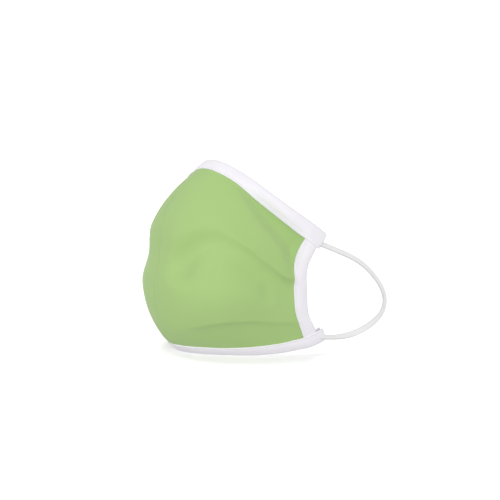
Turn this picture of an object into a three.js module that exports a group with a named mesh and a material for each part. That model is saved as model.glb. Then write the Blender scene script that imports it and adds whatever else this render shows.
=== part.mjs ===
// A cup-shaped cloth face mask, standing on its chin edge.
// Millimetres, +Z up. The front of the mask faces -Y and +X is the wearer's left.
// The origin is on the surface it stands on, under the middle of the sewn body.
import * as THREE from 'three';

// Cloth and gaps
const PANEL_THICK = 1.2;
const TAPE_THICK = 1.0;
const FIT_GAP = 0.3;
const SEAM_GAP = 0.3;

// Bias strips, folded over the edges
const TOP_STRIP_WIDTH = 9.8;
const BOTTOM_STRIP_WIDTH = 10.0;
const SIDE_STRIP_WIDTH = 11.0;
const TAPE_NOSE = 1.2;
const TAPE_TURN = 0.3;
const TAPE_SHOULDER = 0.1;
const SIDE_STRIP_INSET = 0.6;

// Ear loops, a flat elastic
const ELASTIC_WIDTH = 4.6;
const ELASTIC_THICK = 1.4;
const ELASTIC_STEPS = 44;
const ELASTIC_CORNER_SIDES = 2;

// Steps of the faceted walls
const PANEL_STEPS_ALONG = 22;
const PANEL_STEPS_UP = 26;
const STRIP_STEPS = 40;
const SIDE_STRIP_STEPS = 14;

// Shape of one half of the body. Each row is a line from the centre seam round to the side edge.
// v is how far up the cloth the row lies, 0 at the bottom edge and 1 at the top edge.
// centreY and centreZ place the row on the centre seam, and sideX, sideY and sideZ on the side edge.
// frontReach is how far it runs straight across the front, and cheekReach how far forward along the cheek.
// frontRise and cheekRise lift those two runs.
const SECTIONS = [
  { name: 'bottom edge', v: 0.0, centreY: -28, centreZ: 0.3, frontReach: 21, frontRise: 0,
    sideX: 59.5, sideY: 51, sideZ: 8.4, cheekReach: 27, cheekRise: -10.8 },
  { name: 'chin', v: 0.14, centreY: -40.5, centreZ: 11, frontReach: 25, frontRise: 0,
    sideX: 61, sideY: 45, sideZ: 18, cheekReach: 42, cheekRise: -4.5 },
  { name: 'lower lip', v: 0.3, centreY: -47, centreZ: 27, frontReach: 36, frontRise: 0,
    sideX: 61, sideY: 39, sideZ: 30.5, cheekReach: 55, cheekRise: -2 },
  { name: 'mouth', v: 0.46, centreY: -49.2, centreZ: 48.5, frontReach: 44, frontRise: 0,
    sideX: 62, sideY: 37.5, sideZ: 44.5, cheekReach: 59, cheekRise: 0 },
  { name: 'upper lip', v: 0.6, centreY: -45.3, centreZ: 70, frontReach: 40, frontRise: 0,
    sideX: 62, sideY: 37, sideZ: 55, cheekReach: 56, cheekRise: 4 },
  { name: 'nose tip', v: 0.74, centreY: -42.5, centreZ: 94, frontReach: 38, frontRise: 0,
    sideX: 61.5, sideY: 39.5, sideZ: 65, cheekReach: 50, cheekRise: 9 },
  { name: 'bridge', v: 0.88, centreY: -29, centreZ: 116, frontReach: 26, frontRise: 4,
    sideX: 61, sideY: 45, sideZ: 74, cheekReach: 41, cheekRise: 17 },
  { name: 'top edge', v: 1.0, centreY: -9.5, centreZ: 132, frontReach: 16, frontRise: 5,
    sideX: 61, sideY: 51, sideZ: 83, cheekReach: 35, cheekRise: 27 },
];

// The limp top of the nose leans over: its left half stands higher and its right half sinks
const NOSE_LEAN = 10;
const LEAN_START_V = 0.62;

// Folds and dents of one half. Each path is a few points of u, v from end to end.
// depth is how far the cloth sinks, above and below how wide the dent is on either side of the path.
const FOLDS = [
  { name: 'valley under the top strip', depth: 1.8, above: 7, below: 9,
    path: [[0.4, 0.93], [0.57, 0.9], [0.77, 0.82], [0.88, 0.73], [0.92, 0.62]] },
  { name: 'crease across the cheek', depth: 2.2, above: 4, below: 9,
    path: [[0.56, 0.76], [0.68, 0.73], [0.82, 0.655], [0.93, 0.575]] },
  { name: 'arch over the mouth', depth: 1.6, above: 8, below: 10,
    path: [[0.58, 0.76], [0.43, 0.77], [0.3, 0.735], [0.2, 0.67], [0.16, 0.56]] },
  { name: 'crease above the bottom strip', depth: 1.6, above: 4, below: 8,
    path: [[0.93, 0.26], [0.75, 0.31], [0.56, 0.32], [0.38, 0.3], [0.2, 0.265]] },
  { name: 'dent beside the mouth', depth: 1.2, above: 6, below: 6,
    path: [[0.78, 0.56], [0.83, 0.42]] },
];
const FOLD_FADE = 14;
const FOLD_END_SHARE = 0.2;
const FOLD_REACH = 4;
const CLOTH_SPAN_U = 104;
const CLOTH_SPAN_V = 138;
const HELD_FLAT = 6;
const FREE_FROM = 16;

// Route of the left ear loop's centre line, from the top corner round to the bottom corner
const LOOP_ROUTE = [
  [62.0, 49.6, 77.2], [62.2, 54.2, 75.4], [62.5, 62.0, 72.2], [62.8, 70.5, 68.6], [63.1, 79.0, 64.2],
  [63.4, 86.8, 58.6], [63.7, 93.6, 52.0], [63.9, 99.2, 44.6], [63.9, 102.6, 37.0], [63.7, 102.8, 29.8],
  [63.4, 99.6, 23.6], [63.0, 93.6, 18.6], [62.6, 85.6, 14.6], [62.1, 77.0, 11.8], [61.7, 68.0, 10.6],
  [61.3, 59.5, 10.6], [61.0, 52.2, 11.4],
];

const greenCloth = new THREE.MeshStandardMaterial({ color: 0xaaca81, roughness: 0.85, metalness: 0 });
const whiteTape = new THREE.MeshStandardMaterial({ color: 0xe8e4ee, roughness: 0.9, metalness: 0 });
const whiteElastic = new THREE.MeshStandardMaterial({ color: 0xe8e8e8, roughness: 0.8, metalness: 0 });

// One column of the section table at height v, smooth through its rows
function columnAt(column, v) {
  const last = SECTIONS.length - 1;
  const slope = (i) => {
    const before = SECTIONS[Math.max(i - 1, 0)];
    const after = SECTIONS[Math.min(i + 1, last)];
    return (after[column] - before[column]) / (after.v - before.v);
  };
  let i = 0;
  while (i < last - 1 && v > SECTIONS[i + 1].v) {
    i += 1;
  }
  const run = SECTIONS[i + 1].v - SECTIONS[i].v;
  const t = (v - SECTIONS[i].v) / run;
  return SECTIONS[i][column] * (2 * t ** 3 - 3 * t ** 2 + 1)
    + slope(i) * run * (t ** 3 - 2 * t ** 2 + t)
    + SECTIONS[i + 1][column] * (3 * t ** 2 - 2 * t ** 3)
    + slope(i + 1) * run * (t ** 3 - t ** 2);
}

// Point of the smooth cloth before its folds, u from the centre seam to the side edge.
// side is 1 on the left half and -1 on the right half, which is its mirror apart from the lean.
function clothPoint(u, v, side) {
  const lean = NOSE_LEAN * THREE.MathUtils.smoothstep(v, LEAN_START_V, 1);
  const centre = new THREE.Vector3(0, columnAt('centreY', v), columnAt('centreZ', v));
  const edge = new THREE.Vector3(columnAt('sideX', v), columnAt('sideY', v), columnAt('sideZ', v));
  const front = centre.clone().add(
    new THREE.Vector3(columnAt('frontReach', v), 0, columnAt('frontRise', v) + side * lean));
  const cheek = edge.clone().add(
    new THREE.Vector3(0, -columnAt('cheekReach', v), columnAt('cheekRise', v)));
  return new THREE.CubicBezierCurve3(centre, front, cheek, edge).getPoint(u);
}

const STEP = 0.002;

// Millimetres along the cloth for one unit of u and of v, and the direction out of it
function clothFrame(u, v, side) {
  const u0 = Math.max(u - STEP, 0);
  const u1 = Math.min(u + STEP, 1);
  const v0 = Math.max(v - STEP, 0);
  const v1 = Math.min(v + STEP, 1);
  const along = clothPoint(u1, v, side).sub(clothPoint(u0, v, side)).divideScalar(u1 - u0);
  const up = clothPoint(u, v1, side).sub(clothPoint(u, v0, side)).divideScalar(v1 - v0);
  const out = new THREE.Vector3().crossVectors(along, up);
  if (u === 0) {
    out.x = 0;
  }
  return { alongLength: along.length(), upLength: up.length(), out: out.normalize() };
}

function flatCloth(u, v) {
  return new THREE.Vector2(u * CLOTH_SPAN_U, v * CLOTH_SPAN_V);
}

// Distance in the flat cloth from u, v to a fold's path, which side of it, and how far from its nearer end
function nearestOnPath(path, u, v) {
  const point = flatCloth(u, v);
  const corners = path.map(([pathU, pathV]) => flatCloth(pathU, pathV));
  let best = { distance: Infinity, side: 1, fromEnd: 0 };
  for (let i = 0; i + 1 < corners.length; i += 1) {
    const run = corners[i + 1].clone().sub(corners[i]);
    const t = THREE.MathUtils.clamp(point.clone().sub(corners[i]).dot(run) / run.lengthSq(), 0, 1);
    const foot = corners[i].clone().addScaledVector(run, t);
    const distance = foot.distanceTo(point);
    if (distance < best.distance) {
      const fromEnd = Math.min(foot.distanceTo(corners[0]), foot.distanceTo(corners.at(-1)));
      best = { distance, side: point.y >= foot.y ? 1 : -1, fromEnd };
    }
  }
  return best;
}

// How far the folds sink the cloth at u, v
function foldDepth(u, v) {
  let sink = 0;
  for (const fold of FOLDS) {
    const near = nearestOnPath(fold.path, u, v);
    const width = near.side > 0 ? fold.above : fold.below;
    if (near.distance < FOLD_REACH * width) {
      const inside = THREE.MathUtils.smoothstep(near.fromEnd, 0, FOLD_FADE);
      const fade = THREE.MathUtils.lerp(FOLD_END_SHARE, 1, inside);
      sink += fold.depth * fade * Math.exp(-((near.distance / width) ** 2));
    }
  }
  return sink;
}

// Point of the finished cloth, offset from its middle surface. Folds die out under the strips.
function shellPoint(u, v, offset, side) {
  const frame = clothFrame(u, v, side);
  const toEdge = Math.min(v * frame.upLength, (1 - v) * frame.upLength, (1 - u) * frame.alongLength);
  const sink = foldDepth(u, v) * THREE.MathUtils.smoothstep(toEdge, HELD_FLAT, FREE_FROM);
  const point = clothPoint(u, v, side).addScaledVector(frame.out, offset - sink);
  point.x *= side;
  return point;
}

// A closed wall: its two faces, given as matching rows of points, swept through the stations and capped
function sweptWall(outerRow, innerRow, stations, place, material, name) {
  const outline = [...outerRow, ...innerRow.toReversed()];
  const positions = [];
  for (const station of stations) {
    for (const corner of outline) {
      positions.push(...place(corner, station).toArray());
    }
  }
  const count = outline.length;
  const faces = [];
  for (let s = 0; s + 1 < stations.length; s += 1) {
    for (let i = 0; i < count; i += 1) {
      const a = s * count + i;
      const b = s * count + ((i + 1) % count);
      faces.push([a, b, b + count], [a, b + count, a + count]);
    }
  }
  const end = (stations.length - 1) * count;
  for (let i = 0; i + 1 < outerRow.length; i += 1) {
    const across = count - 1 - i;
    faces.push([i, across, i + 1], [i + 1, across, across - 1]);
    faces.push([end + i, end + i + 1, end + across], [end + i + 1, end + across - 1, end + across]);
  }
  const corner = (i) => new THREE.Vector3().fromArray(positions, i * 3);
  const volume = faces.reduce((sum, [i, j, k]) => sum + corner(i).dot(corner(j).cross(corner(k))), 0);
  if (volume < 0) {
    faces.forEach((face) => face.reverse());
  }
  const geometry = new THREE.BufferGeometry();
  geometry.setAttribute('position', new THREE.Float32BufferAttribute(positions, 3));
  geometry.setIndex(faces.flat());
  geometry.computeVertexNormals();
  const mesh = new THREE.Mesh(geometry, material);
  mesh.name = name;
  return mesh;
}

function evenly(from, to, steps) {
  return Array.from({ length: steps + 1 }, (_, i) => from + ((to - from) * i) / steps);
}

// One half of the shell, from the centre seam to inside the side strip
function panel(side, name) {
  const inset = TAPE_NOSE + FIT_GAP;
  const half = PANEL_THICK / 2;
  const heights = evenly(0, 1, PANEL_STEPS_UP);
  const outerRow = heights.map((h) => new THREE.Vector2(h, half));
  const innerRow = heights.map((h) => new THREE.Vector2(h, -half));
  const place = (corner, station) => {
    const u = station * (1 - (inset + SIDE_STRIP_INSET) / clothFrame(1, corner.x, side).alongLength);
    const low = inset / clothFrame(u, 0, side).upLength;
    const high = 1 - inset / clothFrame(u, 1, side).upLength;
    const point = shellPoint(u, low + corner.x * (high - low), corner.y, side);
    point.x += side * (SEAM_GAP / 2) * (1 - station);
    return point;
  };
  return sweptWall(outerRow, innerRow, evenly(0, 1, PANEL_STEPS_ALONG), place, greenCloth, name);
}

// Section of a strip folded over an edge: x is the distance in from the strip's outer edge, y the offset
function foldedStripRows(width) {
  const inner = PANEL_THICK / 2 + FIT_GAP;
  const outer = inner + TAPE_THICK;
  const halfOuter = [
    [width, outer], [width / 2, outer], [TAPE_NOSE, outer - TAPE_SHOULDER], [TAPE_TURN, outer / 2],
  ];
  const halfInner = [[width, inner], [width / 2, inner], [TAPE_NOSE, inner], [TAPE_NOSE, inner / 2]];
  const bothSides = (half, middle) => [
    ...half.map(([x, y]) => new THREE.Vector2(x, y)),
    new THREE.Vector2(middle, 0),
    ...half.toReversed().map(([x, y]) => new THREE.Vector2(x, -y)),
  ];
  return [bothSides(halfOuter, 0), bothSides(halfInner, TAPE_NOSE)];
}

// Strip along the top edge (edgeV 1) or the bottom edge (edgeV 0), from the right corner to the left one.
// Where it would reach below the surface that the mask stands on, it lies flat on that surface.
function longStrip(edgeV, width, name) {
  const inward = edgeV === 1 ? -1 : 1;
  const place = (corner, station) => {
    const side = station < 0 ? -1 : 1;
    const u = Math.abs(station);
    const v = edgeV + (inward * corner.x) / clothFrame(u, edgeV, side).upLength;
    const point = shellPoint(u, v, corner.y, side);
    point.z = Math.max(point.z, 0);
    return point;
  };
  return sweptWall(...foldedStripRows(width), evenly(-1, 1, STRIP_STEPS), place, whiteTape, name);
}

// Strip along one side edge, between the ends of the top and bottom strips
function sideStrip(side, name) {
  const place = (corner, station) => {
    const low = (BOTTOM_STRIP_WIDTH + FIT_GAP) / clothFrame(1, 0, side).upLength;
    const high = 1 - (TOP_STRIP_WIDTH + FIT_GAP) / clothFrame(1, 1, side).upLength;
    const v = THREE.MathUtils.lerp(low, high, station);
    const u = 1 - (SIDE_STRIP_INSET + corner.x) / clothFrame(1, v, side).alongLength;
    return shellPoint(u, v, corner.y, side);
  };
  const stations = evenly(0, 1, SIDE_STRIP_STEPS);
  return sweptWall(...foldedStripRows(SIDE_STRIP_WIDTH), stations, place, whiteTape, name);
}

// Flat elastic from corner to corner behind one side edge
function earLoop(side, name) {
  const route = new THREE.CatmullRomCurve3(LOOP_ROUTE.map(([x, y, z]) => new THREE.Vector3(side * x, y, z)));
  const halfWidth = ELASTIC_WIDTH / 2;
  const halfThick = ELASTIC_THICK / 2;
  const straight = halfWidth - halfThick;
  const section = new THREE.Shape();
  section.moveTo(halfThick, -straight);
  section.lineTo(halfThick, straight);
  section.absarc(0, straight, halfThick, 0, Math.PI, false);
  section.lineTo(-halfThick, -straight);
  section.absarc(0, -straight, halfThick, Math.PI, 2 * Math.PI, false);
  const geometry = new THREE.ExtrudeGeometry(section, {
    steps: ELASTIC_STEPS, curveSegments: ELASTIC_CORNER_SIDES, bevelEnabled: false, extrudePath: route,
  });
  const mesh = new THREE.Mesh(geometry, whiteElastic);
  mesh.name = name;
  return mesh;
}

const mask = new THREE.Group();
mask.add(
  panel(1, 'panel_left'),
  panel(-1, 'panel_right'),
  longStrip(1, TOP_STRIP_WIDTH, 'top_binding'),
  longStrip(0, BOTTOM_STRIP_WIDTH, 'bottom_binding'),
  sideStrip(1, 'side_binding_left'),
  sideStrip(-1, 'side_binding_right'),
  earLoop(1, 'ear_loop_left'),
  earLoop(-1, 'ear_loop_right'),
);

export default mask;
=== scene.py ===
import math

import bpy
import numpy as np
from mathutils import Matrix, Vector


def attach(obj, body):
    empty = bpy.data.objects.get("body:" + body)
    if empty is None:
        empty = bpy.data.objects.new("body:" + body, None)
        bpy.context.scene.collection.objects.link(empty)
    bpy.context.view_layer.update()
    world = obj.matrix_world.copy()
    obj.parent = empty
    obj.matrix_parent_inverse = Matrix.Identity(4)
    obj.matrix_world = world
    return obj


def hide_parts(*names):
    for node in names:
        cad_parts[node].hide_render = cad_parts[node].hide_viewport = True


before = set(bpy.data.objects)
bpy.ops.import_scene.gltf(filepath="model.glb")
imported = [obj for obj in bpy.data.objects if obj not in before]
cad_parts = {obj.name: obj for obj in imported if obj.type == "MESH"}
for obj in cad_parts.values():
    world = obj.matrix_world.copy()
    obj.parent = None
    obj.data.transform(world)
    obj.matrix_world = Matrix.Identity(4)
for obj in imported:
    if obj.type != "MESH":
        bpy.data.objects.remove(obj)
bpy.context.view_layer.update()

# A cloth face mask standing on its chin edge. The front faces -Y and +X is the mask's own left.
# Tables and sizes are in millimetres unless a comment says otherwise, and MM turns them into metres.
MM = 0.001
BODY = "root"

# View: the angle round the mask, the height above the horizon, and the picture's scale
VIEW_AZIMUTH = math.radians(58)
VIEW_ELEVATION = math.radians(7)
VIEW_DISTANCE = 1000
FRAME_WIDTH_AT_MASK = 360
SENSOR_WIDTH = 36
AIM_POINT = (0, 7, 59)
AIM_ASIDE = 18.4
AIM_ABOVE = 10.7

# Cloth thicknesses, strip widths and seams
PANEL_THICK = 1.2
TAPE_THICK = 0.8
TAPE_GAP = 0.12
TOP_STRIP_WIDTH = 9.8
BOTTOM_STRIP_WIDTH = 10.0
SIDE_STRIP_WIDTH = 11.0
SIDE_STRIP_INSET = 0.6
TOP_END_PAST_SIDE = 0.6
BOTTOM_END_PAST_SIDE = 3.0
# How far the side strips' ends are tucked under the long strips
SIDE_STRIP_TUCK = 5.0
# How high the long strips climb over the side strips, and how far past a side strip's width the climb
# starts and is complete
CORNER_LIFT = 0.75
CLIMB_PAST_SIDE_STRIP = (9, -1)
# The top strip widens outwards by so much towards its ends, from so far along each half
TOP_STRIP_FLARE = 2.6
FLARE_FROM_U = 0.62
PANEL_INSET = 1.5
SEAM_DIP = 0.1
SEAM_WIDTH = 1.4
# Up to this u the direction out of the cloth loses its sideways part towards the seam, so that the
# two halves meet there
SEAM_FACING_U = 0.03

# Stitch rows that hold the strips, set in from the strips' inner lips. Those of the long strips stop
# short of the ends.
STITCH_PITCH = 2.5
STITCH_LENGTH = 1.75
THREAD_WIDTH = 0.34
STITCH_FROM_LIP = 1.6
STITCHES_STOP_SHORT = 1.5
STITCH_SIZES = {"Pitch": STITCH_PITCH, "Length": STITCH_LENGTH, "Thread width": THREAD_WIDTH}

# Folded strip's section: its swell between edge and stitches, the groove that the stitches pull in,
# where its flat face starts, and its lip as places past the strip's width and above the slot
STRIP_CROWN = 0.2
GROOVE_DEPTH = 0.26
GROOVE_WIDTH = 0.5
FACE_FROM_LIP = 0.25
STRIP_LIP = [(0, 0.05), (0.02, 0.4), (-0.1, TAPE_THICK - 0.1)]

# Swellings between the stitches, and the slow waves of a strip along it and across it
PUCKER_HEIGHT = 0.05
PUCKER_REACH = 1.6
STRIP_WAVE_HEIGHT = 0.07
STRIP_WAVES_ALONG = (5.3, 8.9)
STRIP_WAVE_ACROSS = 3.0

# Flat elastic of the ear loops, with the loops' length in metres. The corners' roundness is a power,
# and the ribs' depth a share of half the thickness.
ELASTIC_WIDTH = 4.3
ELASTIC_THICK = 1.0
ELASTIC_RIBS = 5
ELASTIC_CORNERS = 0.45
RIB_DEPTH = 0.14
LOOP_LENGTH = 0.134

# What a rounded edge's painted shade multiplies its colour by where the shade is full, and the bands
# that Blender's wave texture has in a length of tau at a scale of 1
PAINTED_EDGE_SHADE = (0.45, 0.45, 0.47)
BANDS_AT_SCALE_ONE = 20

# Studio light: a white room, a soft key light above the camera and a low fill on each side of it.
# Distances and sizes are in metres and powers in watts.
WORLD_STRENGTH = 0.56
LIGHTS = [
    dict(name="key", azimuth=-12, elevation=33, distance=1.8, size=0.5, power=7.4),
    dict(name="left fill", azimuth=-65, elevation=2, distance=2.0, size=1.0, power=14),
    dict(name="right fill", azimuth=35, elevation=2, distance=2.0, size=1.0, power=14),
]
# One more light falls on the floor alone, and gives the soft shadow in front of the mask
FLOOR_LIGHT = dict(name="floor light", azimuth=-135, elevation=68, distance=4.0, size=1.8, power=140)
STAGE_COLOUR = 0.55
FLOOR_GLOW = 0.40
BACKDROP_GLOW = 1.1
BACKDROP_BEHIND = 0.7
STAGE_REACH = 3.0

# Flat sizes that the cloth pieces were cut to, in metres: width, length and area
TOP_STRIP_CUT = dict(flat=(0.020, 0.220))
BOTTOM_STRIP_CUT = dict(flat=(0.020, 0.210))

# Steps of the finished meshes, the points on a fold's line, and the flat size that the cloth's u and v
# stand for
PANEL_COLUMNS = 150
PANEL_ROWS = 190
LONG_STRIP_STEPS = 341
SIDE_STRIP_STEPS = 91
LOOP_STEPS = 220
LOOP_SIDES = 44
FOLD_LINE_POINTS = 48
STRIP_TURN_STEPS = 6
STRIP_FACE_STEPS = 22
CLOTH_SPAN_U = 104
CLOTH_SPAN_V = 138

# Sections of one half of the body: v up the cloth, then a line from the centre seam to the side edge
SECTION_COLUMNS = ("v", "centre_y", "centre_z", "front_reach", "front_rise",
                   "side_x", "side_y", "side_z", "cheek_reach", "cheek_rise")
SECTIONS = {
    "bottom edge": (0.00, -28, 0.3, 21, 0, 59.5, 51, 8.4, 27, -10.8),
    "chin": (0.14, -40.5, 11, 25, 0, 61, 45, 18, 42, -4.5),
    "lower lip": (0.30, -47, 27, 36, 0, 61, 39, 30.5, 55, -2),
    "mouth": (0.46, -49.2, 48.5, 44, 0, 62, 37.5, 44.5, 59, 0),
    "upper lip": (0.60, -45.3, 70, 40, 0, 62, 37, 55, 56, 4),
    "nose tip": (0.74, -42.5, 94, 38, 0, 61.5, 39.5, 65, 50, 9),
    "bridge": (0.88, -29, 116, 26, 4, 61, 45, 74, 41, 17),
    "top edge": (1.00, -9.5, 132, 16, 5, 61, 51, 83, 35, 27),
}
# The limp top of the nose leans over: its left half stands higher and its right half sinks
NOSE_LEAN = 10
LEAN_START_V = 0.62

# Folds of one half, each along a line of u, v points. An overhang lifts the cloth on the line's left
# and lets it drop on its right, steeply over drop and out to reach. A valley sinks it on both sides.
# A pair of values is one for the first half of the line and one for the second, blended in between.
# right_share is how much of the depth the right half has.
OVERHANGS = [
    dict(name="arch over the mouth and crease across the cheek",
         lift=(0.9, 1.3), depth=(10.5, 4.8), soft=(2.6, 0.35), rise=(11, 7), drop=(9, 3.8), reach=(21, 16),
         fade_in=0.10, fade_out=0.02, right_share=0.15,
         path=[(0.105, 0.47), (0.13, 0.58), (0.18, 0.653), (0.256, 0.703), (0.34, 0.741),
               (0.416, 0.760), (0.49, 0.765), (0.56, 0.756), (0.67, 0.729), (0.75, 0.694),
               (0.815, 0.656), (0.875, 0.609), (0.93, 0.574), (1.05, 0.51)]),
    dict(name="crease above the bottom strip", lift=0.4, depth=1.3, soft=0.35, rise=8, drop=2.9, reach=14,
         fade_in=0.5, fade_out=0.03,
         path=[(0.09, 0.176), (0.22, 0.213), (0.32, 0.241), (0.42, 0.266), (0.54, 0.282),
               (0.69, 0.281), (0.81, 0.254), (0.93, 0.222), (1.05, 0.19)]),
    dict(name="shelf under the top strip", lift=1.3, depth=9.8, soft=1.8, rise=8, drop=5.4, reach=21,
         fade_in=0.03, fade_out=0.22,
         path=[(1.05, 0.42), (0.93, 0.61), (0.87, 0.738), (0.82, 0.80), (0.756, 0.835),
               (0.67, 0.868), (0.57, 0.906), (0.50, 0.928), (0.38, 0.95)]),
]
VALLEYS = [
    dict(name="dent beside the mouth", depth=1.7, left=3.4, right=4.5, fade_in=0.45, fade_out=0.45,
         path=[(0.765, 0.57), (0.78, 0.52), (0.80, 0.45), (0.824, 0.379)]),
]

# How many millimetres further off a part of a fold's line still counts in blending its values, and
# the distances from its line at which a fold starts to end and has ended, before its two legs meet
PLACE_BLEND = 4.0
FOLD_ENDS = (14, 30)
# Where along a line a pair of values goes over from the first to the second
PAIR_BLEND = (0.35, 0.6)

# The strips hold the cloth: from where to where, in from a long edge and from a side edge, the folds
# and ripples come in, and the share of them that is left at the side edge
HELD_BY_LONG_STRIP = (3, 13)
HELD_BY_SIDE_STRIP = (4, 17)
LEFT_AT_SIDE = 0.12

# Ripples of the cloth, each the product of two slow waves. A wave has its scales along x, y and z in
# mm, where STEADY means that it doesn't change that way, and its shift.
STEADY = math.inf
RIPPLES = [
    dict(height=0.16, first=(7.3, STEADY, 11.1, 0.6), second=(STEADY, 9.7, -8.3, 1.9)),
    dict(height=0.10, first=(4.1, -5.3, STEADY, 2.4), second=(STEADY, 13.0, 5.9, 0.0)),
]

# Route of the left ear loop's centre line, in metres, from the top corner round to the bottom corner
LOOP_ROUTE = [
    (0.0620, 0.0496, 0.0772), (0.0622, 0.0542, 0.0754), (0.0625, 0.0620, 0.0722),
    (0.0628, 0.0705, 0.0686), (0.0631, 0.0790, 0.0642), (0.0634, 0.0868, 0.0586),
    (0.0637, 0.0936, 0.0520), (0.0639, 0.0992, 0.0446), (0.0639, 0.1026, 0.0370),
    (0.0637, 0.1028, 0.0298), (0.0634, 0.0996, 0.0236), (0.0630, 0.0936, 0.0186),
    (0.0626, 0.0856, 0.0146), (0.0621, 0.0770, 0.0118), (0.0617, 0.0680, 0.0106),
    (0.0613, 0.0595, 0.0106), (0.0610, 0.0522, 0.0114),
]
LOOP_TUCK = 4.0
# How far the band is turned about its route, at fractions of its length, in degrees
LOOP_TWIST = {0.0: -34, 0.25: -28, 0.42: -24, 0.58: -10, 0.74: 16, 0.86: 46, 1.0: 58}


# Camera
def make_camera():
    """The camera looks at the mask from its left front, a little above the floor."""
    sin_a, cos_a = math.sin(VIEW_AZIMUTH), math.cos(VIEW_AZIMUTH)
    sin_e, cos_e = math.sin(VIEW_ELEVATION), math.cos(VIEW_ELEVATION)
    right = Vector((cos_a, sin_a, 0))
    back = Vector((sin_a * cos_e, -cos_a * cos_e, sin_e))
    up = back.cross(right)
    centre = (Vector(AIM_POINT) + right * AIM_ASIDE + up * AIM_ABOVE) * MM
    data = bpy.data.cameras.new("camera")
    data.sensor_width = SENSOR_WIDTH
    data.lens = SENSOR_WIDTH * VIEW_DISTANCE / FRAME_WIDTH_AT_MASK
    data.clip_end = 100
    camera = bpy.data.objects.new("camera", data)
    camera.location = centre + back * VIEW_DISTANCE * MM
    camera.rotation_euler = back.to_track_quat("Z", "Y").to_euler()
    bpy.context.scene.collection.objects.link(camera)
    bpy.context.scene.camera = camera


# Small tools
def smoothstep(low, high, x):
    t = np.clip((x - low) / (high - low), 0, 1)
    return t * t * (3 - 2 * t)


def hermite(knots, values, x):
    """A smooth curve through the values at the knots. The values may be numbers or rows of numbers."""
    knots = np.asarray(knots, float)
    values = np.asarray(values, float)
    count = len(knots)
    before = np.maximum(np.arange(count) - 1, 0)
    after = np.minimum(np.arange(count) + 1, count - 1)
    span = knots[after] - knots[before]
    extra = (1,) * (values.ndim - 1)
    slopes = (values[after] - values[before]) / span.reshape(-1, *extra)
    x = np.asarray(x, float)
    k = np.clip(np.searchsorted(knots, x, side="right") - 1, 0, count - 2)
    run = (knots[k + 1] - knots[k]).reshape(x.shape + extra)
    t = (x.reshape(x.shape + extra) - knots[k].reshape(x.shape + extra)) / run
    return (values[k] * (2 * t**3 - 3 * t**2 + 1) + slopes[k] * run * (t**3 - 2 * t**2 + t)
            + values[k + 1] * (3 * t**2 - 2 * t**3) + slopes[k + 1] * run * (t**3 - t**2))


def even_path(points, count):
    """The points of a smooth line through the given points, evenly spaced along it."""
    points = np.asarray(points, float)
    steps = np.linalg.norm(np.diff(points, axis=0), axis=1)
    at = np.concatenate([[0], np.cumsum(steps)])
    fine = hermite(at, points, np.linspace(0, at[-1], 20 * len(points)))
    along = np.concatenate([[0], np.cumsum(np.linalg.norm(np.diff(fine, axis=0), axis=1))])
    wanted = np.linspace(0, along[-1], count)
    return np.stack([np.interp(wanted, along, fine[:, i]) for i in range(points.shape[1])], axis=1)


def unit(vectors):
    return vectors / np.maximum(np.linalg.norm(vectors, axis=-1, keepdims=True), 1e-12)


# The cloth surface
def section_columns(v):
    rows = np.array(list(SECTIONS.values()))
    values = hermite(rows[:, 0], rows[:, 1:], v)
    return {name: values[..., i] for i, name in enumerate(SECTION_COLUMNS[1:])}


def cloth_point(u, v, side=1):
    """A point of the smooth cloth, u from the centre seam to the side edge of the left (1) or right (-1)
    half. The right half is given mirrored, so that both have x above 0."""
    u, v = np.broadcast_arrays(np.asarray(u, float), np.asarray(v, float))
    c = section_columns(v)
    zero = np.zeros_like(c["side_x"])
    lean = side * NOSE_LEAN * smoothstep(LEAN_START_V, 1, v)
    centre = np.stack([zero, c["centre_y"], c["centre_z"]], -1)
    front = centre + np.stack([c["front_reach"], zero, c["front_rise"] + lean], -1)
    edge = np.stack([c["side_x"], c["side_y"], c["side_z"]], -1)
    cheek = edge + np.stack([zero, -c["cheek_reach"], c["cheek_rise"]], -1)
    t = u[..., None]
    return (1 - t)**3 * centre + 3 * (1 - t)**2 * t * front + 3 * (1 - t) * t**2 * cheek + t**3 * edge


def cloth_frame(u, v, side=1):
    """Lengths of one unit of u and of v, and the direction out of the cloth."""
    step = 0.002
    u, v = np.broadcast_arrays(np.asarray(u, float), np.asarray(v, float))
    u0, u1 = np.maximum(u - step, 0), u + step
    v0, v1 = np.maximum(v - step, 0), np.minimum(v + step, 1)
    along = (cloth_point(u1, v, side) - cloth_point(u0, v, side)) / (u1 - u0)[..., None]
    up = (cloth_point(u, v1, side) - cloth_point(u, v0, side)) / (v1 - v0)[..., None]
    out = np.cross(along, up)
    out[..., 0] *= smoothstep(0, SEAM_FACING_U, u)
    return np.linalg.norm(along, axis=-1), np.linalg.norm(up, axis=-1), unit(out)


def line_distance(points, outs, path, side):
    """Distance from the points to a line on the cloth, positive on its left, and the place along it.

    The place is given sharp, and blended over the parts of the line that are about as near."""
    line_uv = even_path(path, FOLD_LINE_POINTS)
    line = cloth_point(line_uv[:, 0], line_uv[:, 1], side)
    starts, runs = line[:-1], np.diff(line, axis=0)
    flat = points.reshape(-1, 3)
    offsets = flat[:, None, :] - starts[None]
    t = np.clip((offsets * runs).sum(-1) / (runs * runs).sum(-1), 0, 1)
    away = offsets - t[..., None] * runs
    distances = np.linalg.norm(away, axis=-1)
    nearest = distances.argmin(1)
    pick = np.arange(len(flat))
    places = (np.arange(len(runs)) + t) / len(runs)
    least = distances[pick, nearest]
    nearness = np.exp((least[:, None] - distances) / PLACE_BLEND)
    blended = (nearness * places).sum(-1) / nearness.sum(-1)
    left = (np.cross(outs.reshape(-1, 3), runs[nearest]) * away[pick, nearest]).sum(-1)
    signed = np.where(left >= 0, 1, -1) * least
    return [each.reshape(points.shape[:-1]) for each in (signed, places[pick, nearest], blended)]


def end_fade(fold, place):
    return smoothstep(0, fold["fade_in"], place) * smoothstep(0, fold["fade_out"], 1 - place)


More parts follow.
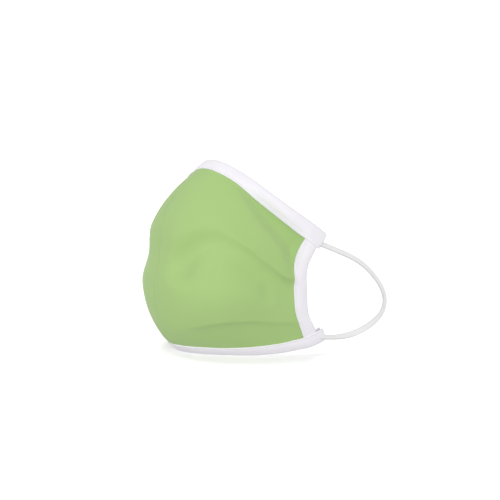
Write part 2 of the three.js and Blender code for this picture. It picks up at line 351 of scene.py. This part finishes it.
def value_along(value, place):
    """One value for the whole line, or a pair blended from its first half to its second."""
    first, second = value if isinstance(value, tuple) else (value, value)
    return first + (second - first) * smoothstep(*PAIR_BLEND, place)


def overhang_sink(points, outs, fold, side):
    signed, place, blended = line_distance(points, outs, fold["path"], side)
    names = ("lift", "depth", "soft", "rise", "drop", "reach")
    lift, depth, soft, rise, drop, reach = (value_along(fold[name], blended) for name in names)
    if side < 0:
        depth = depth * fold.get("right_share", 1)
    above = soft * np.logaddexp(0, signed / soft)
    below = soft * np.logaddexp(0, -signed / soft)
    fallen = depth * (1 - np.exp(-below / drop)) * np.exp(-(below / reach)**2)
    lifted = lift * np.exp(-above / rise) * np.exp(-below / drop)
    return (fallen * smoothstep(*FOLD_ENDS[::-1], below) - lifted) * end_fade(fold, place)


def valley_sink(points, outs, fold, side):
    signed, place, _ = line_distance(points, outs, fold["path"], side)
    width = np.where(signed >= 0, fold["left"], fold["right"])
    return fold["depth"] * np.exp(-(signed / width)**2) * end_fade(fold, place)


def slow_wave(points, scale_x, scale_y, scale_z, shift):
    return np.sin((points / (scale_x, scale_y, scale_z)).sum(-1) + shift)


def ripple(points):
    """Soft uneven waves that no sewn cloth is without."""
    return sum(row["height"] * slow_wave(points, *row["first"]) * slow_wave(points, *row["second"])
               for row in RIPPLES)


def shell_point(u, v, offset, side=1):
    """A point of the finished cloth, offset outwards from its middle, on the left (1) or right (-1)."""
    length_u, length_v, out = cloth_frame(u, v, side)
    base = cloth_point(u, v, side)
    sink = sum(overhang_sink(base, out, fold, side) for fold in OVERHANGS)
    sink = sink + sum(valley_sink(base, out, fold, side) for fold in VALLEYS)
    to_edge = np.minimum(v * length_v, (1 - v) * length_v)
    free_from_side = smoothstep(*HELD_BY_SIDE_STRIP, (1 - u) * length_u)
    free = smoothstep(*HELD_BY_LONG_STRIP, to_edge) * (LEFT_AT_SIDE + (1 - LEFT_AT_SIDE) * free_from_side)
    sink = (sink + ripple(base * (side, 1, 1))) * free
    seam = SEAM_DIP * np.exp(-(u * length_u / SEAM_WIDTH)**2)
    point = base + out * (offset - sink - seam)[..., None]
    return point * (side, 1, 1)


# Meshes
def mesh_piece(name, vertices, faces, material, uvs=None):
    """A piece with its place in its mesh. The vertices are in millimetres."""
    data = bpy.data.meshes.new(name)
    data.from_pydata((np.asarray(vertices) * MM).tolist(), [], np.asarray(faces).tolist())
    if uvs is not None:
        layer = data.uv_layers.new(name="flat")
        corners = np.zeros(len(data.loops), int)
        data.loops.foreach_get("vertex_index", corners)
        layer.data.foreach_set("uv", np.asarray(uvs)[corners].ravel())
    data.polygons.foreach_set("use_smooth", [True] * len(data.polygons))
    data.materials.append(material)
    data.validate()
    piece = bpy.data.objects.new(name, data)
    bpy.context.scene.collection.objects.link(piece)
    return piece


def wall(name, rows, flip, material, row_uvs):
    """A closed solid from rows of section points. Each row is one loop, and both end loops are capped.

    A loop runs out along one face and back along the other, so its caps pair its points up."""
    stations, count = rows.shape[:2]
    index = np.arange(stations * count).reshape(stations, count)
    nxt = np.roll(index, -1, axis=1)
    sides = np.stack([index[:-1], nxt[:-1], nxt[1:], index[1:]], -1).reshape(-1, 4)
    half = np.arange(count // 2 - 1)
    back = count - 1 - half
    first = np.stack([index[0, half], index[0, back], index[0, back - 1], index[0, half + 1]], -1)
    last = np.stack([index[-1, half], index[-1, half + 1], index[-1, back - 1], index[-1, back]], -1)
    faces = np.concatenate([sides, first, last])
    if flip:
        faces = faces[:, ::-1]
    return mesh_piece(name, rows.reshape(-1, 3), faces, material, row_uvs.reshape(-1, 2))


# Materials
def new_material(name):
    material = bpy.data.materials.new(name)
    material.use_nodes = True
    nodes = material.node_tree.nodes
    shader = nodes["Principled BSDF"]
    shader.inputs["Metallic"].default_value = 0
    return material, nodes, material.node_tree.links, shader


def add(nodes, kind, **settings):
    node = nodes.new(kind)
    for key, value in settings.items():
        if key in node.inputs:
            node.inputs[key].default_value = value
        else:
            setattr(node, key, value)
    return node


def cloth_material(name, colour, tint, thread_pitch, bump, turn=0.0, edge=None):
    """Plain woven cloth: threads both ways on the piece's flat map, with a faint uneven tint.

    edge is painted shade towards the cloth's edge: where across the map it starts and ends, and how much."""
    material, nodes, links, shader = new_material(name)
    shader.inputs["Roughness"].default_value = 0.85
    shader.inputs["Sheen Weight"].default_value = 0.25
    shader.inputs["Sheen Roughness"].default_value = 0.5
    shader.inputs["Specular IOR Level"].default_value = 0.25
    flat = add(nodes, "ShaderNodeUVMap", uv_map="flat")
    mapping = add(nodes, "ShaderNodeMapping")
    mapping.inputs["Rotation"].default_value = (0, 0, turn)
    links.new(flat.outputs["UV"], mapping.inputs["Vector"])
    threads = []
    for direction in ("X", "Y"):
        wave = add(nodes, "ShaderNodeTexWave", bands_direction=direction, wave_profile="SIN",
                   Scale=math.tau / (BANDS_AT_SCALE_ONE * thread_pitch * MM), Distortion=1.2, Detail=1.0)
        wave.inputs["Detail Scale"].default_value = 3.0
        links.new(mapping.outputs["Vector"], wave.inputs["Vector"])
        threads.append(wave)
    weave = add(nodes, "ShaderNodeMath", operation="MULTIPLY")
    links.new(threads[0].outputs["Fac"], weave.inputs[0])
    links.new(threads[1].outputs["Fac"], weave.inputs[1])
    place = add(nodes, "ShaderNodeTexCoord")
    uneven = add(nodes, "ShaderNodeTexNoise", Scale=55.0, Detail=4.0, Roughness=0.6)
    links.new(place.outputs["Object"], uneven.inputs["Vector"])
    colours = add(nodes, "ShaderNodeMix", data_type="RGBA")
    links.new(uneven.outputs["Fac"], colours.inputs["Factor"])
    given = {socket.name: socket for socket in colours.inputs if socket.type == "RGBA"}
    given["A"].default_value = (*colour, 1)
    given["B"].default_value = (*tint, 1)
    mixed = next(socket for socket in colours.outputs if socket.type == "RGBA")
    # Painted shade of the rounded edges, darkening the colour towards them
    if edge:
        mixed = paint_edge_shade(nodes, links, flat, mixed, *edge)
    links.new(mixed, shader.inputs["Base Color"])
    relief = add(nodes, "ShaderNodeBump", Strength=bump, Distance=0.08 * MM)
    links.new(weave.outputs["Value"], relief.inputs["Height"])
    links.new(relief.outputs["Normal"], shader.inputs["Normal"])
    return material


def paint_edge_shade(nodes, links, flat, colour, start, end, strength):
    """The colour with painted shade, darkened where the distance across the flat map goes from start to
    end.
    """
    parts = add(nodes, "ShaderNodeSeparateXYZ")
    across = add(nodes, "ShaderNodeMath", operation="ABSOLUTE")
    share = add(nodes, "ShaderNodeMapRange", interpolation_type="SMOOTHSTEP")
    share.inputs["From Min"].default_value = start * MM
    share.inputs["From Max"].default_value = end * MM
    share.inputs["To Min"].default_value = 0
    share.inputs["To Max"].default_value = strength
    edge_shade_mix = add(nodes, "ShaderNodeMix", data_type="RGBA", blend_type="MULTIPLY")
    links.new(flat.outputs["UV"], parts.inputs["Vector"])
    links.new(parts.outputs["Y"], across.inputs[0])
    links.new(across.outputs["Value"], share.inputs["Value"])
    links.new(share.outputs["Result"], edge_shade_mix.inputs["Factor"])
    given = {socket.name: socket for socket in edge_shade_mix.inputs if socket.type == "RGBA"}
    links.new(colour, given["A"])
    given["B"].default_value = (*PAINTED_EDGE_SHADE, 1)
    return next(socket for socket in edge_shade_mix.outputs if socket.type == "RGBA")


# Panels
def panel(name, side, material):
    """One half of the green shell, a closed wall of two faces."""
    across = np.linspace(0, 1, PANEL_COLUMNS)[:, None]
    up = np.linspace(0, 1, PANEL_ROWS)[None, :]
    side_length = cloth_frame(np.ones_like(up), up, side)[0]
    u = across * (1 - (PANEL_INSET + SIDE_STRIP_INSET) / side_length)
    low = PANEL_INSET / cloth_frame(u, np.zeros_like(u), side)[1]
    high = 1 - PANEL_INSET / cloth_frame(u, np.ones_like(u), side)[1]
    v = low + up * (high - low)
    faces = [shell_point(u, v, np.full_like(u, h), side) for h in (PANEL_THICK / 2, -PANEL_THICK / 2)]
    rows = np.concatenate([faces[0], faces[1][:, ::-1]], axis=1)
    flat = np.stack([u * CLOTH_SPAN_U * MM * side, v * CLOTH_SPAN_V * MM], -1)
    uvs = np.concatenate([flat, flat[:, ::-1]], axis=1)
    return wall(name, rows, side > 0, material, uvs)


# Strips
def tape_section(width):
    """The folded strip's outline: distance in from its outer edge, and offset from the cloth's middle.

    It runs down the outside, round the edge and up the inside, then back along the slot for the cloth."""
    slot = PANEL_THICK / 2 + TAPE_GAP
    full = slot + TAPE_THICK
    turn = np.linspace(0, math.pi / 2, STRIP_TURN_STEPS)
    nose = np.stack([full * (1 - np.cos(turn)), full * np.sin(turn)], -1)
    face_d = np.linspace(width - FACE_FROM_LIP, full, STRIP_FACE_STEPS)
    stitch_d = width - STITCH_FROM_LIP
    crown = STRIP_CROWN * np.sin(math.pi * np.clip(face_d / stitch_d, 0, 1)) * (face_d < stitch_d)
    groove = GROOVE_DEPTH * np.exp(-((face_d - stitch_d) / GROOVE_WIDTH)**2)
    face = np.stack([face_d, full + crown - groove], -1)
    lip = np.array([(width + past, slot + above) for past, above in STRIP_LIP])
    outer = np.concatenate([lip, face[:-1], nose[::-1]])
    slot_mouth, slot_corner, slot_end = width - 0.02, 0.9 * full, 0.8 * full
    slot_d = np.linspace(slot_mouth, slot_corner, len(lip) + len(face) - 1)
    walls = np.stack([slot_d, np.full_like(slot_d, slot)], -1)
    bend = np.stack([np.full(STRIP_TURN_STEPS, slot_end), np.linspace(slot, 0, STRIP_TURN_STEPS)], -1)
    inner = np.concatenate([walls, bend])
    both = [np.concatenate([half, (half * (1, -1))[::-1][1:]]) for half in (outer, inner)]
    return np.concatenate([both[0], both[1][::-1]])


def pucker(along, distance, width):
    """Small swellings between the stitches and slow waves along a strip, for a place along it in mm."""
    near_stitches = np.exp(-((distance - width + STITCH_FROM_LIP) / PUCKER_REACH)**2)
    swellings = near_stitches * np.sin(math.tau * along / (2 * STITCH_PITCH))
    short, long = STRIP_WAVES_ALONG
    waves = np.sin(along / short) * np.sin(along / long + distance / STRIP_WAVE_ACROSS)
    return PUCKER_HEIGHT * swellings + STRIP_WAVE_HEIGHT * waves


def edge_stations(edge_v, past_side, count):
    """Places along a long edge from its right end to its left one: u, side and millimetres along it."""
    reach = 1 + past_side / cloth_frame(1.0, float(edge_v))[0]
    s = np.linspace(-reach, reach, count)
    side = np.where(s < 0, -1, 1)
    return np.abs(s), side, s * CLOTH_SPAN_U


def on_both_sides(u, v, offset, sides):
    """Finished cloth points for stations of both halves, one station per row."""
    u, v, offset = np.broadcast_arrays(u, v, offset)
    points = np.empty(u.shape + (3,))
    for side in (1, -1):
        rows = sides == side
        points[rows] = shell_point(u[rows], v[rows], offset[rows], side)
    return points


def long_edge_place(edge_v, u, sides, along, distance, offset, width):
    """Points of a long strip. Near its ends it climbs over the side strips."""
    inward = -1 if edge_v else 1
    u, along = u[:, None], along[:, None]
    length_v = np.empty_like(u)
    length_u = np.empty_like(u)
    for side in (1, -1):
        rows = sides == side
        lengths = cloth_frame(u[rows], np.full_like(u[rows], edge_v), side)
        length_u[rows], length_v[rows] = lengths[0], lengths[1]
    flare = TOP_STRIP_FLARE * edge_v * smoothstep(FLARE_FROM_U, 1, u)
    v = edge_v + inward * (distance - flare * np.clip(1 - distance / width, 0, 1)) / length_v
    to_side = (1 - u) * length_u
    start, end = (SIDE_STRIP_WIDTH + past for past in CLIMB_PAST_SIDE_STRIP)
    climb = CORNER_LIFT * smoothstep(start, end, to_side)
    outside = np.sign(offset) * (climb + pucker(along, distance, width))
    points = on_both_sides(u, v, offset + outside, sides)
    points[..., 2] = np.maximum(points[..., 2], 0)
    return points


def long_strip(name, edge_v, width, past_side, material):
    """The strip along the top edge (1) or the bottom edge (0), from corner to corner."""
    section = tape_section(width)
    u, sides, along = edge_stations(edge_v, past_side, LONG_STRIP_STEPS)
    distance, offset = section[None, :, 0], section[None, :, 1]
    rows = long_edge_place(edge_v, u, sides, along, distance, offset, width)
    uvs = np.stack(np.broadcast_arrays(along[:, None] * MM, distance * MM), -1)
    return wall(name, rows, edge_v == 0, material, uvs)


def side_strip_range(side):
    """Lowest and highest v of a side strip, whose ends are tucked under the long strips."""
    low = (BOTTOM_STRIP_WIDTH - SIDE_STRIP_TUCK) / cloth_frame(1.0, 0.0, side)[1]
    high = 1 - (TOP_STRIP_WIDTH - SIDE_STRIP_TUCK) / cloth_frame(1.0, 1.0, side)[1]
    return low, high


def side_edge_place(v, side, distance, offset):
    """Points of a side strip, in from the side edge."""
    along = v * CLOTH_SPAN_V
    swell = np.sign(offset) * pucker(along, distance, SIDE_STRIP_WIDTH)
    u = 1 - (SIDE_STRIP_INSET + distance) / cloth_frame(np.ones_like(v), v, side)[0]
    u, v, offset = np.broadcast_arrays(u, v, offset + swell)
    return shell_point(u, v, offset, side)


def side_strip(name, side, material):
    """The strip along one side edge."""
    section = tape_section(SIDE_STRIP_WIDTH)
    low, high = side_strip_range(side)
    v = np.linspace(low, high, SIDE_STRIP_STEPS)[:, None]
    distance, offset = section[None, :, 0], section[None, :, 1]
    rows = side_edge_place(v, side, distance, offset)
    uvs = np.stack(np.broadcast_arrays(v * CLOTH_SPAN_V * MM, distance * MM), -1)
    return wall(name, rows, side > 0, material, uvs)


# Stitches
def stitch_tree(material):
    """Geometry Nodes that lay a thread stitch at even steps along a line, flat on the cloth."""
    tree = bpy.data.node_groups.new("stitch row", "GeometryNodeTree")
    face = tree.interface
    face.new_socket("Line", in_out="INPUT", socket_type="NodeSocketGeometry")
    for label, size in STITCH_SIZES.items():
        socket = face.new_socket(label, in_out="INPUT", socket_type="NodeSocketFloat")
        socket.default_value = size * MM
    face.new_socket("Stitches", in_out="OUTPUT", socket_type="NodeSocketGeometry")
    nodes, links = tree.nodes, tree.links
    given = nodes.new("NodeGroupInput")
    result = nodes.new("NodeGroupOutput")
    curve = nodes.new("GeometryNodeMeshToCurve")
    points = nodes.new("GeometryNodeCurveToPoints")
    points.mode = "LENGTH"
    out = nodes.new("GeometryNodeInputNamedAttribute")
    out.data_type = "FLOAT_VECTOR"
    out.inputs["Name"].default_value = "out"
    lie_along = nodes.new("FunctionNodeAlignRotationToVector")
    lie_along.axis = "X"
    face_out = nodes.new("FunctionNodeAlignRotationToVector")
    face_out.axis = "Z"
    face_out.pivot_axis = "X"
    bead = nodes.new("GeometryNodeMeshUVSphere")
    bead.inputs["Segments"].default_value = 8
    bead.inputs["Rings"].default_value = 5
    bead.inputs["Radius"].default_value = 0.5
    size = nodes.new("ShaderNodeCombineXYZ")
    place = nodes.new("GeometryNodeInstanceOnPoints")
    realize = nodes.new("GeometryNodeRealizeInstances")
    paint = nodes.new("GeometryNodeSetMaterial")
    paint.inputs["Material"].default_value = material
    links.new(given.outputs["Line"], curve.inputs["Mesh"])
    links.new(curve.outputs["Curve"], points.inputs["Curve"])
    links.new(given.outputs["Pitch"], points.inputs["Length"])
    links.new(points.outputs["Points"], place.inputs["Points"])
    links.new(points.outputs["Tangent"], lie_along.inputs["Vector"])
    links.new(lie_along.outputs["Rotation"], face_out.inputs["Rotation"])
    links.new(out.outputs["Attribute"], face_out.inputs["Vector"])
    links.new(face_out.outputs["Rotation"], place.inputs["Rotation"])
    links.new(bead.outputs["Mesh"], place.inputs["Instance"])
    links.new(given.outputs["Length"], size.inputs["X"])
    links.new(given.outputs["Thread width"], size.inputs["Y"])
    links.new(given.outputs["Thread width"], size.inputs["Z"])
    links.new(size.outputs["Vector"], place.inputs["Scale"])
    links.new(place.outputs["Instances"], realize.inputs["Geometry"])
    links.new(realize.outputs["Geometry"], paint.inputs["Geometry"])
    links.new(paint.outputs["Geometry"], result.inputs["Stitches"])
    return tree


def stitch_rows(name, lines, tree):
    """Stitches along lines of points and their outward directions, as one plain mesh."""
    vertices, outs, edges = [], [], []
    for points, directions in lines:
        first = len(vertices)
        vertices.extend((points * MM).tolist())
        outs.extend(directions.tolist())
        edges.extend((first + i, first + i + 1) for i in range(len(points) - 1))
    data = bpy.data.meshes.new(name + " lines")
    data.from_pydata(vertices, edges, [])
    layer = data.attributes.new("out", "FLOAT_VECTOR", "POINT")
    layer.data.foreach_set("vector", np.asarray(outs).ravel())
    rows = bpy.data.objects.new(name, data)
    bpy.context.scene.collection.objects.link(rows)
    modifier = rows.modifiers.new("stitches", "NODES")
    modifier.node_group = tree
    sockets = {item.name: item.identifier for item in tree.interface.items_tree if item.in_out == "INPUT"}
    for label, size in STITCH_SIZES.items():
        modifier[sockets[label]] = size * MM
    depsgraph = bpy.context.evaluated_depsgraph_get()
    mesh = bpy.data.meshes.new_from_object(rows.evaluated_get(depsgraph), depsgraph=depsgraph)
    rows.modifiers.remove(modifier)
    rows.data = mesh
    mesh.polygons.foreach_set("use_smooth", [True] * len(mesh.polygons))
    return rows


def stitch_lines(place, width):
    """One row of points on the strip's groove, for each face, with the directions out of the cloth."""
    height = PANEL_THICK / 2 + TAPE_GAP + TAPE_THICK - THREAD_WIDTH / 2
    distance = np.array([[width - STITCH_FROM_LIP]])
    lines = []
    for face in (1, -1):
        low, high = (place(distance, np.array([[face * h]]))[:, 0] for h in (height, height + 1))
        lines.append((low, unit(high - low)))
    return lines


# Ear loops
def loop_route(side):
    return [(side * x, y, z) for x, y, z in LOOP_ROUTE]


def ear_loop(name, side, material):
    """A flat ribbed elastic that twists along its route, its ends tucked into the strips."""
    points = np.array(loop_route(side)) / MM
    tucks = [ends[0] + unit(ends[0] - ends[1]) * LOOP_TUCK for ends in (points[:2], points[::-1][:2])]
    route = even_path(np.concatenate([tucks[:1], points, tucks[1:]]), LOOP_STEPS)
    tangents = unit(np.gradient(route, axis=0))
    across = unit(np.array([side, 0, 0]) - tangents * (tangents[:, :1] * side))
    edge = np.cross(tangents, across)
    places = np.linspace(0, 1, LOOP_STEPS)
    turn = np.radians(hermite(list(LOOP_TWIST), list(LOOP_TWIST.values()), places)) * side
    cos_t, sin_t = np.cos(turn)[:, None], np.sin(turn)[:, None]
    normal = across * cos_t + edge * sin_t
    width = edge * cos_t - across * sin_t
    angle = (np.arange(LOOP_SIDES) + 0.5) / LOOP_SIDES * math.tau
    x = ELASTIC_WIDTH / 2 * np.sign(np.cos(angle)) * np.abs(np.cos(angle))**ELASTIC_CORNERS
    y = ELASTIC_THICK / 2 * np.sign(np.sin(angle)) * np.abs(np.sin(angle))**ELASTIC_CORNERS
    y = y * (1 - RIB_DEPTH * np.cos(x / ELASTIC_WIDTH * ELASTIC_RIBS * math.tau))
    rows = route[:, None] + width[:, None] * x[None, :, None] + normal[:, None] * y[None, :, None]
    flat = np.stack(np.broadcast_arrays(places[:, None] * LOOP_LENGTH, x[None] * MM), -1)
    return wall(name, rows, side < 0, material, flat)


# Stage
def stage_sheet(name, corners, glow, casts_shadow):
    """A plain white sheet of four corners, which throws no light back on the cloth."""
    material, _, _, shader = new_material("white " + name)
    shader.inputs["Base Color"].default_value = (STAGE_COLOUR, STAGE_COLOUR, STAGE_COLOUR, 1)
    shader.inputs["Roughness"].default_value = 0.95
    shader.inputs["Specular IOR Level"].default_value = 0.0
    shader.inputs["Emission Color"].default_value = (1, 1, 1, 1)
    shader.inputs["Emission Strength"].default_value = glow
    sheet = mesh_piece(name, [corner / MM for corner in corners], [(0, 1, 2, 3)], material)
    sheet.visible_diffuse = False
    sheet.visible_shadow = casts_shadow
    return sheet


def make_stage():
    """A floor, and a backdrop that lets the floor light behind it through. It gives back the floor."""
    behind = Vector((-math.sin(VIEW_AZIMUTH), math.cos(VIEW_AZIMUTH), 0))
    right = Vector((math.cos(VIEW_AZIMUTH), math.sin(VIEW_AZIMUTH), 0)) * STAGE_REACH
    up = Vector((0, 0, STAGE_REACH))
    front, back = behind * -STAGE_REACH, behind * BACKDROP_BEHIND
    floor = stage_sheet("floor", [front - right, front + right, back + right, back - right],
                        FLOOR_GLOW, casts_shadow=True)
    stage_sheet("backdrop", [back - right, back + right, back + right + up, back - right + up],
                BACKDROP_GLOW, casts_shadow=False)
    return floor


def area_light(name, azimuth, elevation, distance, size, power):
    """A soft square light, placed by its angle from the camera's side and its height above the mask."""
    a = VIEW_AZIMUTH + math.radians(azimuth)
    e = math.radians(elevation)
    away = Vector((math.sin(a) * math.cos(e), -math.cos(a) * math.cos(e), math.sin(e)))
    data = bpy.data.lights.new(name, "AREA")
    data.shape = "SQUARE"
    data.size = size
    data.energy = power
    light = bpy.data.objects.new(name, data)
    light.location = Vector(AIM_POINT) * MM + away * distance
    light.rotation_euler = away.to_track_quat("Z", "Y").to_euler()
    bpy.context.scene.collection.objects.link(light)
    return light


def make_light(floor):
    """The room, the lights, and one light that falls on the floor alone."""
    world = bpy.data.worlds.new("studio")
    world.use_nodes = True
    background = world.node_tree.nodes["Background"]
    background.inputs["Color"].default_value = (1, 1, 1, 1)
    background.inputs["Strength"].default_value = WORLD_STRENGTH
    bpy.context.scene.world = world
    bpy.context.scene.view_settings.view_transform = "Standard"
    for light in LIGHTS:
        area_light(**light)
    floor_alone = bpy.data.collections.new("floor alone")
    floor_alone.objects.link(floor)
    area_light(**FLOOR_LIGHT).light_linking.receiver_collection = floor_alone


# Making
make_camera()

# The elastic's long edges are darkened in its colour: painted shade where the band rounds off
elastic = cloth_material("white elastic", (0.92, 0.92, 0.92), (0.88, 0.88, 0.88), 0.5, 0.5,
                         edge=(0.28 * ELASTIC_WIDTH, 0.46 * ELASTIC_WIDTH, 0.32))
for side, label in ((1, "left"), (-1, "right")):
    loop = ear_loop(f"ear_loop_{label}_elastic", side, elastic)
    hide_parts(f"ear_loop_{label}")
    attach(loop, BODY)

green = cloth_material("green cloth", (0.402, 0.591, 0.219), (0.387, 0.573, 0.208), 0.45, 0.25)
# The strips' colour darkens towards their folded outer edge: painted shade of the fold
white = cloth_material("white strip cloth", (0.92, 0.90, 0.95), (0.89, 0.87, 0.92), 0.4, 0.3,
                       turn=math.radians(45), edge=(1.1, 0.1, 0.4))
# The stitches have no flat map, so their thread shows only the uneven tint
thread = cloth_material("white thread", (0.90, 0.89, 0.93), (0.87, 0.86, 0.90), 0.3, 0.1)
rows_of_stitches = stitch_tree(thread)

for side, label in ((1, "left"), (-1, "right")):
    cloth = panel(f"panel_{label}_cloth", side, green)
    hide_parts(f"panel_{label}")
    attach(cloth, BODY)

    strip = side_strip(f"side_strip_{label}", side, white)
    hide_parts(f"side_binding_{label}")
    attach(strip, BODY)

    v = np.linspace(*side_strip_range(side), SIDE_STRIP_STEPS)[:, None]
    lines = stitch_lines(lambda d, o: side_edge_place(v, side, d, o), SIDE_STRIP_WIDTH)
    stitches = stitch_rows(f"side_strip_{label}_stitches", lines, rows_of_stitches)
    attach(stitches, BODY)

for label, edge_v, width, past_side, cut in (
        ("top", 1, TOP_STRIP_WIDTH, TOP_END_PAST_SIDE, TOP_STRIP_CUT),
        ("bottom", 0, BOTTOM_STRIP_WIDTH, BOTTOM_END_PAST_SIDE, BOTTOM_STRIP_CUT)):
    strip = long_strip(f"{label}_strip", edge_v, width, past_side, white)
    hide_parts(f"{label}_binding")
    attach(strip, BODY)

    u, sides, along = edge_stations(edge_v, past_side - STITCHES_STOP_SHORT, LONG_STRIP_STEPS)
    lines = stitch_lines(lambda d, o: long_edge_place(edge_v, u, sides, along, d, o, width), width)
    stitches = stitch_rows(f"{label}_strip_stitches", lines, rows_of_stitches)
    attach(stitches, BODY)

make_light(make_stage())
